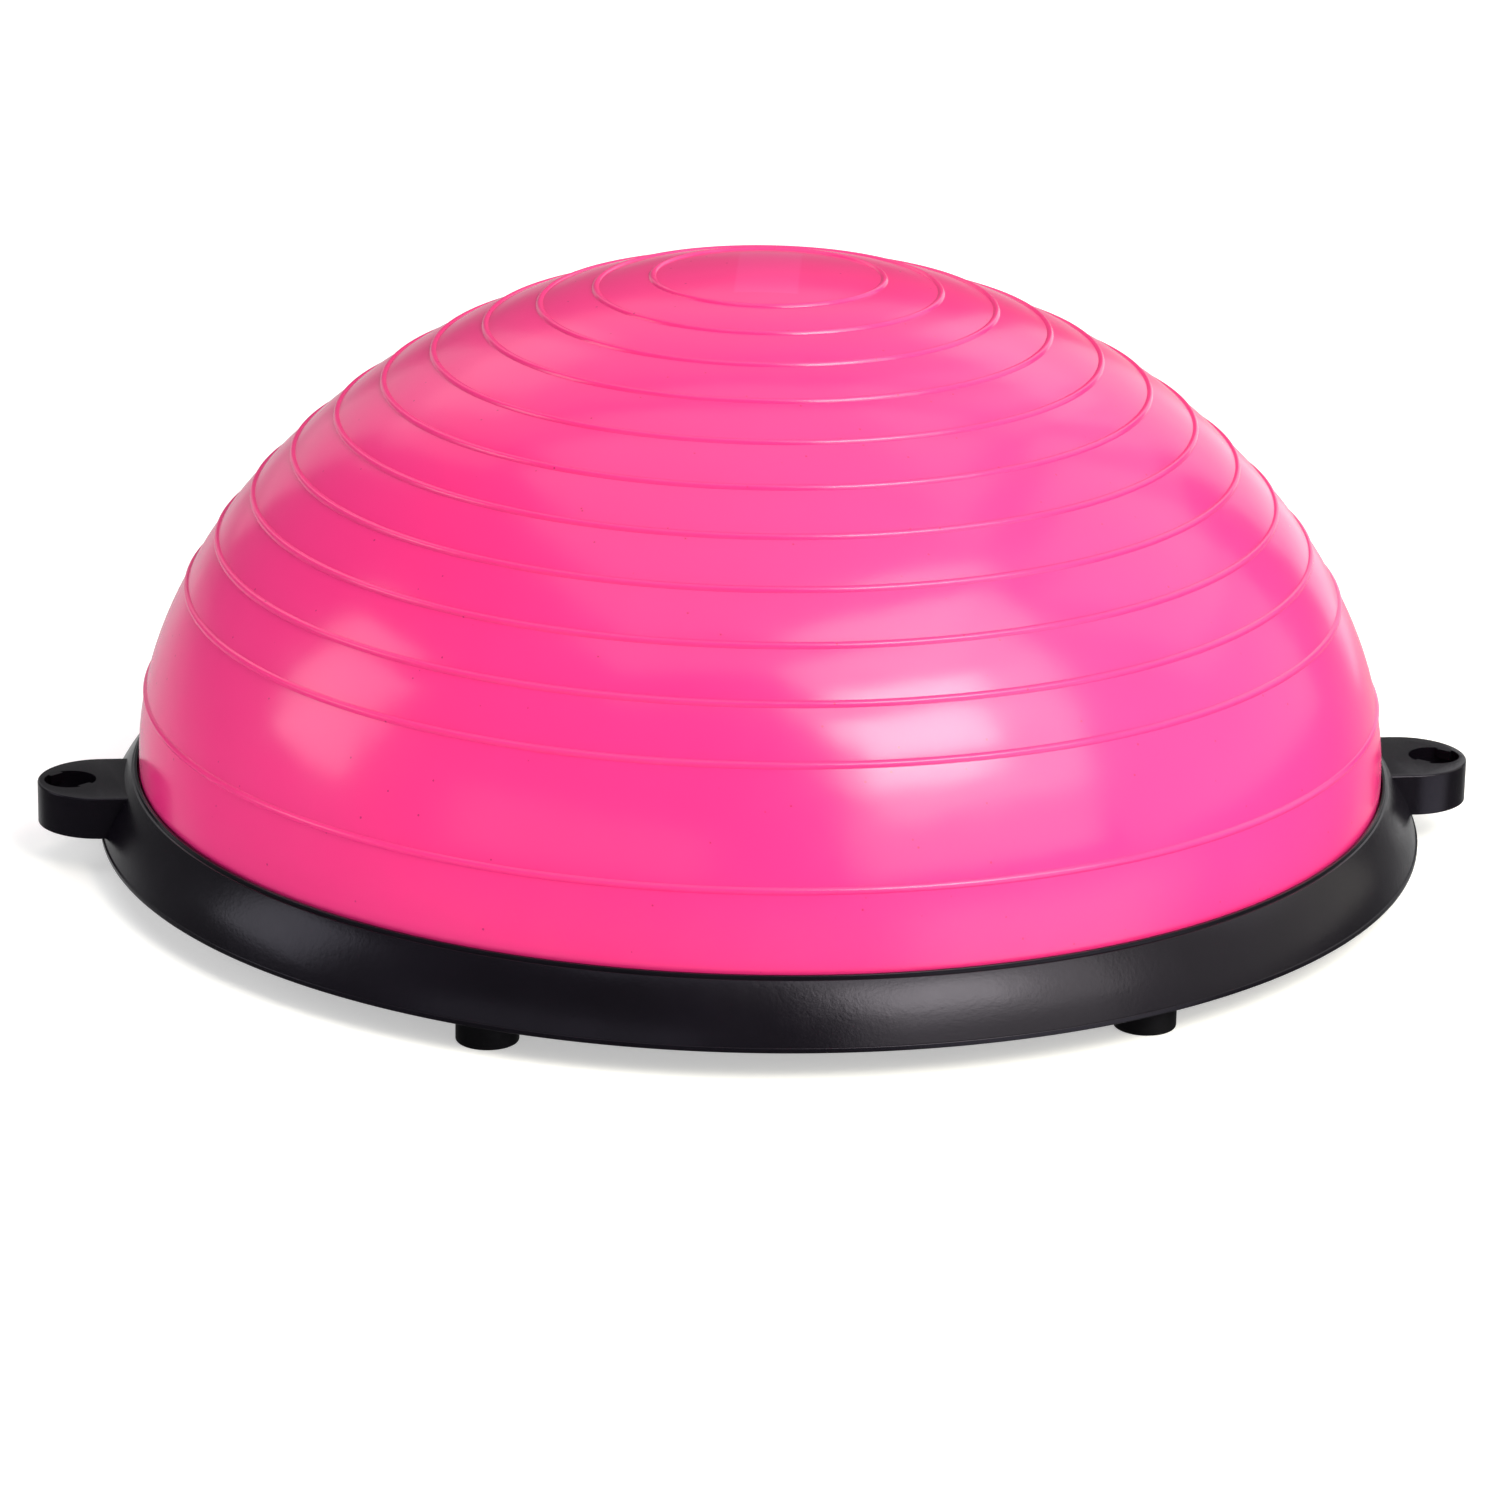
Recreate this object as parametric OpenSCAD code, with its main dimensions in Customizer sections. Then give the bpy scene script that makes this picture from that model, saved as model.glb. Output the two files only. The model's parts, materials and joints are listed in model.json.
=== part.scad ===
// Balance dome trainer: an inflatable half-ball held to a flat platform by a
// screwed clamp ring, with two band sockets and six rubber feet.
// Frame: Z = 0 is the floor, the dome's axis is Z, the two band lugs lie along X.

/* [Overall] */
// Diameter of the clamp ring at its bottom edge
platform_d = 580; // [460:1:720]
// Height from the floor to the crown of the dome
overall_h = 261.5; // [210:0.5:330]
// Height of the rubber feet below the clamp ring
foot_h = 13; // [8:0.5:24]

/* [Dome] */
// Wall of the moulded bladder
bladder_wall = 3.2; // [2:0.1:5]
// Radius of the skirt arc, where the dome is widest
skirt_r = 133.4; // [90:0.1:150]
// Angle from the axis at which the crown arc ends
crown_turn = 50.4; // [40:0.1:56]
// Angle from the axis at which the shoulder arc ends
shoulder_turn = 70.8; // [62:0.1:78]
// Height of the widest circle above the ring's bottom edge
waist_up = 31.8; // [20:0.1:45]
// Number of moulded grip ridges
ridge_count = 12; // [6:1:14]
// Height of a ridge above the dome
ridge_h = 1.1; // [0.6:0.1:2]
// Width of a ridge at its foot
ridge_w = 3.2; // [2:0.1:6]
// How far the panels between the ridges bulge
panel_bulge = 0.3; // [0:0.1:2]
// Plain band between the lowest ridge and the clamp ring, along the dome
plain_band = 34; // [20:0.5:60]
// Thickness of the bead that the ring clamps
bead_t = 4.5; // [3:0.1:6]
// Gap between the bead and the bosses of the ring screws
bead_gap = 0.4; // [0.2:0.1:2]

/* [Clamp ring] */
// Height of the ring from its bottom edge to its top lip
ring_h = 27.4; // [20:0.1:40]
// Radial width from the bottom edge to the top lip's inner edge
ring_w = 16.4; // [14:0.1:22]
// Height of the upright bottom edge
ring_edge_h = 2.3; // [1:0.1:5]
// Height of the stepped top lip
lip_step = 1.7; // [1:0.1:3]
// Width of the top lip at its foot
lip_w = 2.5; // [1.8:0.1:4]
// Wall of the ring, measured level
ring_wall = 3.5; // [2.5:0.1:5]
// Gap between the top lip and the dome
lip_gap = 1; // [0.4:0.1:2]

/* [Band lugs] */
// Radius of a lug's rounded end
lug_r = 27.5; // [22:0.5:34]
// Distance from the ring's bottom edge in to the centre of a lug's rounded end
lug_set = 0.7; // [0:0.1:6]
// Height of the lug's flat top above the ring's bottom edge
lug_top_up = 22; // [16:0.5:24]
// Height of the lug's lower edge above the ring's bottom edge
lug_low_up = 3.7; // [2:0.1:8]
// Wall of a lug
lug_wall = 3; // [2:0.1:5]
// Thickness of the keyed plate on top of the socket
lug_plate_t = 4; // [3:0.1:6]
// Radius of the band socket
socket_r = 11.3; // [8:0.1:13]
// Distance from the lug's rounded centre out to the socket's centre
socket_out = 13.2; // [8:0.1:14]
// Radius to the inside of the two bayonet tabs
socket_tab_r = 9; // [6:0.1:10]
// Width of a bayonet tab
socket_tab_w = 6.6; // [4:0.1:9]
// Angle of the tabs from the lug's axis
socket_tab_angle = 50; // [20:1:70]

/* [Platform] */
// Thickness of the platform's flat skin
skin_t = 3.5; // [2.5:0.1:6]
// Height of the platform's ribs above its skin
rib_h = 5.5; // [4:0.1:12]
// Thickness of a rib
rib_t = 2.6; // [2:0.1:4]
// Number of radial ribs, a multiple of the number of feet
radial_rib_count = 12; // [12:12:24]
// Number of rib rings
rib_ring_count = 3; // [1:1:5]
// Width of the land under the bladder's bead
land_w = 14; // [8:0.5:18]
// How far the platform's underside sits above the ring's bottom edge
platform_recess = 2; // [1:0.1:4]
// Radius of the valve's access hole in the platform
access_r = 24; // [18:0.5:32]
// Wall of the collar round the access hole
access_wall = 3; // [2:0.1:5]
// Width of a raised grip ring on the underside
tread_w = 5; // [3:0.5:8]
// Height of a raised grip ring
tread_h = 0.8; // [0.4:0.1:1.4]
// Number of raised grip rings
tread_count = 7; // [3:1:12]
// Distance from the access hole out to the first grip ring
tread_in_gap = 26; // [12:1:50]
// Distance from the last grip ring out to the feet
tread_out_gap = 12; // [6:1:30]

/* [Feet and screws] */
// Radius of a foot
foot_r = 13; // [9:0.5:16]
// Distance from the ring's edge in to the centre of a foot
foot_inset = 21; // [18:0.5:40]
// Height of the seat of a foot screw's head above the sole
foot_seat_z = 7.5; // [4:0.5:7.5]
// Radius of a foot screw's shank
foot_screw_r = 2; // [1.5:0.1:2.5]
// Radius of a foot screw's head
foot_head_r = 3.8; // [3.2:0.1:5]
// Height of a foot screw's head
foot_head_h = 2.4; // [1.6:0.1:3]
// Wall round a foot screw where it enters the platform
foot_boss_wall = 4; // [2.5:0.1:6]
// Number of screws that hold the clamp ring
rim_screw_count = 12; // [6:6:12]
// Radius of a ring screw's shank
rim_screw_r = 1.75; // [1.5:0.05:2]
// Length of a ring screw inside its boss
rim_screw_grip = 7.5; // [5:0.5:8]
// Radius of a ring screw's head
rim_head_r = 3.4; // [2.8:0.1:3.6]
// Height of a ring screw's head
rim_head_h = 1.8; // [1.2:0.1:2]
// Radius of a boss for a ring screw
rim_boss_r = 3.6; // [3:0.1:3.8]

/* [Valve] */
// Radius of the plug's shank
plug_r = 4.45; // [3.5:0.05:6]
// Length of the plug's shank
plug_shank_l = 20.5; // [14:0.5:26]
// Radius of the plug's tip
plug_tip_r = 2.6; // [1.8:0.1:3.2]
// Length of the plug's tip
plug_tip_l = 11.5; // [6:0.5:16]
// Radius of the plug's flange
plug_flange_r = 8; // [6.5:0.1:10]
// Width of the flange's rim round its dish
plug_rim_w = 2; // [1:0.1:3]
// Depth of the dish under the flange
plug_dish_d = 1.2; // [0.4:0.1:1.6]
// Span of the plug's two wings
plug_span = 30; // [24:0.5:34]
// Width of a wing
plug_wing_w = 7; // [5:0.5:9]
// Thickness of a wing
plug_wing_t = 3; // [2:0.1:4]
// Radius of the valve seat's tube
seat_tube_r = 9; // [7:0.1:12]
// Height of the valve seat's tube above the bladder's floor
seat_tube_h = 13; // [8:0.5:16]
// Width of the valve seat's flange round its tube
seat_flange_w = 7; // [4:0.5:12]
// Thickness of the valve seat's flange
seat_flange_t = 2; // [1:0.1:4]

/* [Hidden] */
$fn = 128;

// Number of feet, one for each foot node
foot_count = 6;

// Overlap that lets a cut run past a face
eps = 0.1;
// Radial clearance of the plug in its seat
plug_fit = 0.05;
// Gap between the plug's flange and the seat
plug_gap = 0.1;
// Gap round the platform's edge
platform_gap = 0.3;
// Clearance round a screw's shank and round its head
hole_slack = 0.25;
head_slack = 0.3;
// Gap at a screw's tip, and the solid left above it
tip_gap = 0.5;
tip_cover = 1.5;
// Distance from the ring's inner face in to the bosses of the ring screws
boss_inset = 1;
// How deep the seat insert and the screw threads bite into what holds them
bite = 0.15;
// Chamfer on moulded edges
edge_break = 0.8;

// Heights, from the floor up
ring_z = foot_h;
under_z = ring_z + platform_recess;
skin_top_z = under_z + skin_t;
floor_z = skin_top_z + rib_h;
bead_top_z = floor_z + bead_t;
edge_top_z = ring_z + ring_edge_h;
lip_z = ring_z + ring_h;
crease_z = lip_z - lip_step;
lug_top_z = ring_z + lug_top_up;
lug_low_z = ring_z + lug_low_up;
waist_z = ring_z + waist_up;

// Radii, from the rim in
rim_r = platform_d / 2;
lip_in_r = rim_r - ring_w;
crease_r = lip_in_r + lip_w;
waist_r = lip_in_r - lip_gap;
function slope_r(z) = rim_r - (rim_r - crease_r) * (z - edge_top_z) / (crease_z - edge_top_z);
ring_in_r = slope_r(skin_top_z) - ring_wall;
platform_r = ring_in_r - platform_gap;
rim_screw_circle = ring_in_r - boss_inset - rim_boss_r;
bead_r = rim_screw_circle - rim_boss_r - bead_gap;
foot_circle = rim_r - foot_inset;

// The dome's side is three arcs that meet without a corner: crown, shoulder and skirt.
// The crown and shoulder radii are those that reach the crown height and the waist radius.
rise = overall_h - waist_z;
m11 = sin(crown_turn);
m12 = sin(shoulder_turn) - sin(crown_turn);
m21 = 1 - cos(crown_turn);
m22 = cos(crown_turn) - cos(shoulder_turn);
out_left = waist_r - skirt_r * (1 - sin(shoulder_turn));
up_left = rise - skirt_r * cos(shoulder_turn);
det = m11 * m22 - m12 * m21;
crown_r = (out_left * m22 - m12 * up_left) / det;
shoulder_r = (m11 * up_left - m21 * out_left) / det;
crown_c = [0, overall_h - crown_r];
shoulder_c = crown_c + (crown_r - shoulder_r) * [sin(crown_turn), cos(crown_turn)];
skirt_c = shoulder_c + (shoulder_r - skirt_r) * [sin(shoulder_turn), cos(shoulder_turn)];

// Length along an arc, and the dome's side measured from the crown down
function arc_len(r, turn) = r * turn * PI / 180;
function arc_turn(r, len) = len / r * 180 / PI;
crown_len = arc_len(crown_r, crown_turn);
shoulder_len = crown_len + arc_len(shoulder_r, shoulder_turn - crown_turn);
function skirt_turn_at(z, r) = acos((z - skirt_c[1]) / r);
function skirt_len_at(z) = shoulder_len + arc_len(skirt_r, skirt_turn_at(z, skirt_r) - shoulder_turn);
side_len = skirt_len_at(bead_top_z);

// Turn from the axis at a length along the side
function turn_at(s) =
    s < crown_len ? arc_turn(crown_r, s)
    : s < shoulder_len ? crown_turn + arc_turn(shoulder_r, s - crown_len)
    : shoulder_turn + arc_turn(skirt_r, s - shoulder_len);
// Point of the side at a turn, moved out by a distance
function side_at(turn, out) =
    turn < crown_turn ? crown_c + (crown_r + out) * [sin(turn), cos(turn)]
    : turn < shoulder_turn ? shoulder_c + (shoulder_r + out) * [sin(turn), cos(turn)]
    : skirt_c + (skirt_r + out) * [sin(turn), cos(turn)];

// Ridges sit one pitch apart from two pitches below the crown, and one place is left
// empty above the lowest ridge
ridge_pitch = (skirt_len_at(lip_z) - plain_band) / (ridge_count + 2);
ridge_lens = [for (i = [1:ridge_count]) ridge_pitch * (i + (i == ridge_count ? 2 : 1))];
ridge_steps = [-1, -0.6, -0.25, 0.25, 0.6, 1];
plain_steps = 6;
function ridge_out(t) = ridge_h * (1 - t * t);
// How far a panel stands out at a share of its length: the cap and the skirt don't bulge
function panel_out(i, share) =
    i == 0 || i == ridge_count ? 0 : panel_bulge * 4 * share * (1 - share);
function gap_start(i) = i == 0 ? 0 : ridge_lens[i - 1] + ridge_w / 2;
function gap_end(i) = i == ridge_count ? side_len : ridge_lens[i] - ridge_w / 2;
// Point k of panel i, moved out by a distance
function panel_point(i, k, out) =
    side_at(
        turn_at(gap_start(i) + (gap_end(i) - gap_start(i)) * k / plain_steps),
        panel_out(i, k / plain_steps) + out
    );

// Outer side from the crown to the bead: plain stretches with a rounded ridge after each
outer_side = [
    for (i = [0:ridge_count]) each [
        for (k = [0:plain_steps])
            if (k > 0 && k < plain_steps || i == 0 && k == 0 || i == ridge_count && k == plain_steps)
                panel_point(i, k, 0),
        if (i < ridge_count) each [
            for (t = ridge_steps)
                side_at(turn_at(ridge_lens[i] + t * ridge_w / 2), ridge_out(t))
        ]
    ]
];

// Inner side from the floor up to the crown, one wall inside the panels
inner_end = skirt_turn_at(floor_z + bladder_wall, skirt_r - bladder_wall);
inner_side = [
    side_at(inner_end, -bladder_wall),
    for (i = [ridge_count:-1:0])
        for (k = [plain_steps:-1:0])
            if (i < ridge_count || k < plain_steps)
                panel_point(i, k, -bladder_wall)
];

// Inflatable half-ball: ridged dome, flat floor and a bead round the bottom edge
module dome_bladder() {
    color("deeppink")
    rotate_extrude()
    polygon(concat(
        outer_side,
        [[bead_r, bead_top_z], [bead_r, floor_z],
         [seat_tube_r - bite, floor_z], [seat_tube_r - bite, floor_z + bladder_wall]],
        inner_side
    ));
}

// Insert that is fused into the bladder's floor and takes the plug
module valve_seat() {
    inside_z = floor_z + bladder_wall;
    seat_top_z = inside_z + seat_tube_h;
    color("hotpink")
    difference() {
        union() {
            translate([0, 0, floor_z])
            cylinder(h = seat_top_z - floor_z, r = seat_tube_r);
            translate([0, 0, inside_z])
            cylinder(h = seat_flange_t, r = seat_tube_r + seat_flange_w);
        }
        translate([0, 0, floor_z - eps])
        cylinder(h = seat_top_z - floor_z + 2 * eps, r = plug_r + plug_fit);
    }
}

// Winged plug: thin tip, shank, dished flange and two flat wings
plug_flange_z = floor_z - plug_gap - plug_wing_t;
module valve_plug() {
    dish_r = plug_flange_r - plug_rim_w;
    shank_z = plug_flange_z + plug_wing_t;
    tip_z = shank_z + plug_shank_l;
    color("yellow")
    difference() {
        union() {
            translate([0, 0, plug_flange_z])
            cylinder(h = plug_wing_t, r = plug_flange_r);
            translate([-plug_span / 2, -plug_wing_w / 2, plug_flange_z])
            cube([plug_span, plug_wing_w, plug_wing_t]);
            translate([0, 0, shank_z - eps])
            cylinder(h = plug_shank_l + eps - edge_break, r = plug_r);
            translate([0, 0, tip_z - edge_break - eps])
            cylinder(h = edge_break + eps, r1 = plug_r, r2 = plug_r - edge_break);
            translate([0, 0, tip_z - eps])
            cylinder(h = plug_tip_l - plug_tip_r + eps, r = plug_tip_r);
            translate([0, 0, tip_z + plug_tip_l - plug_tip_r])
            sphere(r = plug_tip_r);
        }
        translate([0, 0, plug_flange_z - eps])
        cylinder(h = plug_dish_d + eps, r1 = dish_r, r2 = dish_r - plug_dish_d);
    }
}

// Outline of the clamp ring as a full disc, up to its top lip
lip_round = lip_step / 2;
module ring_envelope() {
    rotate_extrude()
    polygon([
        [0, ring_z],
        [rim_r - edge_break / 2, ring_z],
        [rim_r, ring_z + edge_break / 2],
        [rim_r, edge_top_z],
        [crease_r, crease_z],
        [lip_in_r + lip_round, lip_z - lip_round / 4],
        [lip_in_r + lip_round / 2, lip_z],
        [0, lip_z]
    ]);
}

// Room inside the ring for the platform, the bead and the dome
module ring_room() {
    rotate_extrude()
    polygon([
        [0, ring_z - eps],
        [ring_in_r, ring_z - eps],
        [ring_in_r, skin_top_z],
        [slope_r(bead_top_z) - ring_wall, bead_top_z],
        [lip_in_r, bead_top_z],
        [lip_in_r, lip_z + eps],
        [0, lip_z + eps]
    ]);
}

// Lug on the +X side: a round end with straight sides that run in under the ring's slope
lug_x = rim_r - lug_set;
socket_x = lug_x + socket_out;
lug_in_x = lip_in_r - lug_wall;
module lug_block(inset, low, top) {
    r = lug_r - inset;
    translate([lug_x, 0, low])
    cylinder(h = top - low, r = r);
    translate([lug_in_x, -r, low])
    cube([lug_x - lug_in_x, 2 * r, top - low]);
}

// Chamfered top of a lug
module lug_cap() {
    low = lug_top_z - edge_break;
    translate([lug_x, 0, low])
    cylinder(h = edge_break, r1 = lug_r, r2 = lug_r - edge_break);
    translate([lug_in_x, 0, low])
    rotate([90, 0, 90])
    linear_extrude(lug_x - lug_in_x)
    polygon([
        [-lug_r, 0],
        [lug_r, 0],
        [lug_r - edge_break, edge_break],
        [edge_break - lug_r, edge_break]
    ]);
}

// Hollow under the lug's top, clear of the ring, the socket's wall and the ribs
lug_core_top = lug_top_z - lug_plate_t;
module lug_core() {
    difference() {
        lug_block(lug_wall, lug_low_z - eps, lug_core_top);
        ring_envelope();
        translate([socket_x, 0, ring_z])
        cylinder(h = ring_h, r = socket_r + lug_wall);
        translate([lug_in_x, -rib_t / 2, ring_z])
        cube([socket_x - lug_in_x, rib_t, ring_h]);
    }
}

// Band socket: a round hole that two tabs narrow at the lug's top plate
module socket_hole() {
    translate([socket_x, 0, 0]) {
        translate([0, 0, lug_low_z - eps])
        cylinder(h = lug_core_top - lug_low_z + eps, r = socket_r);
        difference() {
            translate([0, 0, lug_core_top - eps])
            cylinder(h = lug_plate_t + 2 * eps, r = socket_r);
            for (side = [0, 180])
                rotate([0, 0, socket_tab_angle + side])
                translate([socket_tab_r, -socket_tab_w / 2, lug_core_top])
                cube([socket_r, socket_tab_w, lug_plate_t + eps]);
        }
    }
}

// Runs its children on the +X side and mirrored on the -X side
module both_sides() {
    children();
    mirror([1, 0, 0])
    children();
}

// Places its children round a circle
module round_circle(count, radius, first_angle) {
    for (i = [0:count - 1])
        rotate([0, 0, first_angle + 360 * i / count])
        translate([radius, 0, 0])
        children();
}

rim_screw_first = 180 / rim_screw_count;
rim_boss_top = skin_top_z + rim_screw_grip + tip_cover;
module rim_screw_places() {
    round_circle(rim_screw_count, rim_screw_circle, rim_screw_first)
    children();
}

// Ring that clamps the bladder's bead, with a sloped face and the two band lugs
module clamp_ring() {
    color("dimgray")
    difference() {
        union() {
            difference() {
                union() {
                    ring_envelope();
                    both_sides() {
                        lug_block(0, lug_low_z, lug_top_z - edge_break);
                        lug_cap();
                    }
                }
                ring_room();
            }
            intersection() {
                rim_screw_places()
                translate([0, 0, skin_top_z])
                cylinder(h = rim_boss_top - skin_top_z, r = rim_boss_r);
                ring_envelope();
            }
        }
        both_sides() {
            lug_core();
            socket_hole();
        }
        rim_screw_places()
        translate([0, 0, skin_top_z - eps])
        cylinder(h = rim_screw_grip + eps, r = rim_screw_r - bite);
    }
}

// Flat platform: skin, bead land, ribs, foot bosses, raised grip rings and valve access
land_in_r = bead_r - land_w;
foot_screw_grip = skin_t + rib_h - tip_cover;
tread_in_r = access_r + tread_in_gap;
tread_out_r = foot_circle - foot_r - tread_out_gap;
function rib_ring_r(k) = access_r + (land_in_r - access_r) * k / (rib_ring_count + 1);
function tread_r(k) = tread_in_r + (tread_out_r - tread_in_r) * k / (tread_count - 1);
module foot_places() {
    round_circle(foot_count, foot_circle, 0)
    children();
}
module band(inner, outer, low, high) {
    rotate_extrude()
    translate([inner, low])
    square([outer - inner, high - low]);
}
// Upright ring of a rib's thickness, from the skin up to the bladder's floor
module rib_ring(r) {
    band(r - rib_t / 2, r + rib_t / 2, skin_top_z - eps, floor_z);
}
module base_platform() {
    rib_in_r = access_r + access_wall / 2;
    rib_out_r = land_in_r + rib_t / 2;
    color("#2b2b2d")
    difference() {
        union() {
            band(access_r, platform_r, under_z, skin_top_z);
            band(land_in_r, bead_r, skin_top_z - eps, floor_z);
            band(access_r, access_r + access_wall, skin_top_z - eps, floor_z);
            for (k = [1:rib_ring_count])
                rib_ring(rib_ring_r(k));
            for (i = [0:radial_rib_count - 1])
                rotate([0, 0, 360 * i / radial_rib_count])
                translate([rib_in_r, -rib_t / 2, skin_top_z - eps])
                cube([rib_out_r - rib_in_r, rib_t, rib_h + eps]);
            foot_places()
            translate([0, 0, skin_top_z - eps])
            cylinder(h = rib_h + eps, r = foot_screw_r + foot_boss_wall);
            for (k = [0:tread_count - 1])
                band(tread_r(k) - tread_w / 2, tread_r(k) + tread_w / 2, under_z - tread_h, under_z + eps);
        }
        foot_places()
        translate([0, 0, under_z - eps])
        cylinder(h = foot_screw_grip + eps, r = foot_screw_r - bite);
        rim_screw_places() {
            translate([0, 0, under_z - eps])
            cylinder(h = skin_t + 2 * eps, r = rim_screw_r + hole_slack);
            translate([0, 0, under_z - eps])
            cylinder(h = rim_head_h + eps, r = rim_head_r + head_slack);
        }
    }
}

// Pan-head screw that points up, with its head's seat at Z = 0 and a cross recess. The
// recess and the head's chamfer are shares of the head's own radius and height.
recess_w_share = 0.28;
recess_l_share = 1.1;
recess_d_share = 0.6;
chamfer_r_share = 0.2;
chamfer_h_share = 1 / 3;
module screw(shank_r, shank_l, head_r, head_h) {
    recess_w = head_r * recess_w_share;
    recess_l = head_r * recess_l_share;
    chamfer_h = head_h * chamfer_h_share;
    tip_l = shank_r / 2;
    difference() {
        union() {
            translate([0, 0, -eps])
            cylinder(h = shank_l - tip_l + eps, r = shank_r);
            translate([0, 0, shank_l - tip_l])
            cylinder(h = tip_l, r1 = shank_r, r2 = shank_r - tip_l);
            translate([0, 0, -head_h])
            cylinder(h = chamfer_h, r1 = head_r * (1 - chamfer_r_share), r2 = head_r);
            translate([0, 0, chamfer_h - head_h])
            cylinder(h = head_h - chamfer_h, r = head_r);
        }
        for (turn = [0, 90])
            rotate([0, 0, turn])
            translate([-recess_l / 2, -recess_w / 2, -head_h - eps])
            cube([recess_l, recess_w, head_h * recess_d_share + eps]);
    }
}

// Screws that pull the clamp ring down onto the platform
module rim_screws() {
    color("silver")
    rim_screw_places()
    translate([0, 0, under_z + rim_head_h])
    screw(rim_screw_r, skin_t - rim_head_h + rim_screw_grip - tip_gap, rim_head_r, rim_head_h);
}

// Rubber foot with a chamfered sole and a sunk screw
module foot(i) {
    color("#1c1c1e")
    rotate([0, 0, 360 * (i - 1) / foot_count])
    translate([foot_circle, 0, 0])
    difference() {
        union() {
            cylinder(h = edge_break, r1 = foot_r - edge_break, r2 = foot_r);
            translate([0, 0, edge_break])
            cylinder(h = under_z - edge_break, r = foot_r);
        }
        translate([0, 0, -eps])
        cylinder(h = foot_seat_z + eps, r = foot_head_r + head_slack);
        translate([0, 0, foot_seat_z - eps])
        cylinder(h = under_z - foot_seat_z + 2 * eps, r = foot_screw_r + hole_slack);
    }
}

// Screws that hold the feet
module foot_screws() {
    color("silver")
    foot_places()
    translate([0, 0, foot_seat_z])
    screw(foot_screw_r, under_z - foot_seat_z + foot_screw_grip - tip_gap, foot_head_r, foot_head_h);
}

dome_bladder();
valve_seat();
valve_plug();
clamp_ring();
base_platform();
rim_screws();
foot(1);  // foot_1
foot(2);  // foot_2
foot(3);  // foot_3
foot(4);  // foot_4
foot(5);  // foot_5
foot(6);  // foot_6
foot_screws();
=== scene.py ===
# %% [markdown]
# # A balance dome trainer
# The trainer is an inflated half-ball of pink PVC. A black clamp ring with two band lugs
# holds it to a flat platform on six rubber feet, and a yellow plug closes its valve
# underneath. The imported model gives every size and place. This lesson builds each piece's
# finished surface around it, one piece at a time.

# %% Load the fixed frame
import json
import math
import bmesh
import bpy
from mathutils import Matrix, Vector


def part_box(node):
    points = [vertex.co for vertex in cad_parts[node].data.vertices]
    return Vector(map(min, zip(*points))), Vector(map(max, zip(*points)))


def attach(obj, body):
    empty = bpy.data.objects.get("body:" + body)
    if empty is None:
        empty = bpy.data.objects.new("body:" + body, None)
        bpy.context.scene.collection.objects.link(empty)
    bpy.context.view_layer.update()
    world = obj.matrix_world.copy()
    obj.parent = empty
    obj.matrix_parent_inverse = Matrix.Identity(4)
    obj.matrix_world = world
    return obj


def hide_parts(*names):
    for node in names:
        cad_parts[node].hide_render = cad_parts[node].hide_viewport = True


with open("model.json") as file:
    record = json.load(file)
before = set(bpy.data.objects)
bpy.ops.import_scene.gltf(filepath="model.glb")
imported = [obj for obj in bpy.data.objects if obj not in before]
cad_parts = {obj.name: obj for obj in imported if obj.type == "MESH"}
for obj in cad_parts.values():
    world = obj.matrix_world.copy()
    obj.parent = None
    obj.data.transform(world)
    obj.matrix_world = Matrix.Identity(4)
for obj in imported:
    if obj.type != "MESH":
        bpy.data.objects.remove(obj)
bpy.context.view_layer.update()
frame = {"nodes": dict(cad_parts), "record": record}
print("frame:", sorted(frame["nodes"]))

# %% [markdown]
# ## Camera
# The camera comes first, because it decides how much detail shows. It could be keyed in as
# a position and three angles. A point to look at, a distance and two angles are easier to
# reason about, so the position is worked out from those, and a small roll is added last.

# %% Place the camera
AIM = Vector((-0.0045, 0, 0.043))
CAMERA_DISTANCE = 2.667
CAMERA_TURN = math.radians(-6.17)
CAMERA_RISE = math.radians(18.56)
CAMERA_ROLL = math.radians(0.99)
SENSOR = 36
LENS = 145.2


def direction(turn, rise):
    """Unit vector at a turn from the front towards +X, and a rise above the floor."""
    level = math.cos(rise)
    return Vector((math.sin(turn) * level, -math.cos(turn) * level, math.sin(rise)))


camera_data = bpy.data.cameras.new("camera")
camera_data.lens = LENS
camera_data.sensor_width = SENSOR
camera = bpy.data.objects.new("camera", camera_data)
bpy.context.scene.collection.objects.link(camera)
camera.location = AIM + direction(CAMERA_TURN, CAMERA_RISE) * CAMERA_DISTANCE
camera.rotation_euler = (AIM - camera.location).to_track_quat("-Z", "Y").to_euler()
camera.rotation_euler.rotate_axis("Z", CAMERA_ROLL)
bpy.context.scene.camera = camera
print("camera at", [round(part, 3) for part in camera.location])

# %% [markdown]
# ## Floor and light
# A pale round floor stands for the studio sweep. The lights are plain area lights, which
# behave like soft boxes: their size sets how soft a highlight's edge is. The key stands in
# front on the right, a strip on the left, and a tall panel behind on the right gives the
# pale rim along the dome's outline. The lights on the right are a little warm, and a fill
# on the left brightens the shade without showing in the gloss.

# %% Lay the floor
FLOOR_R = 9.0


def deselect_all():
    """Nothing stays selected, so that the next operator acts on its own piece alone."""
    if bpy.context.object and bpy.context.object.mode != "OBJECT":
        bpy.ops.object.mode_set(mode="OBJECT")
    bpy.ops.object.select_all(action="DESELECT")


def active(piece):
    """Makes a piece the only one selected."""
    deselect_all()
    piece.select_set(True)
    bpy.context.view_layer.objects.active = piece


deselect_all()
bpy.ops.mesh.primitive_circle_add(vertices=64, radius=FLOOR_R, fill_type="NGON")
floor = bpy.context.object
floor.name = "studio_floor"
floor.visible_glossy = False
print("floor radius", FLOOR_R)

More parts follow.
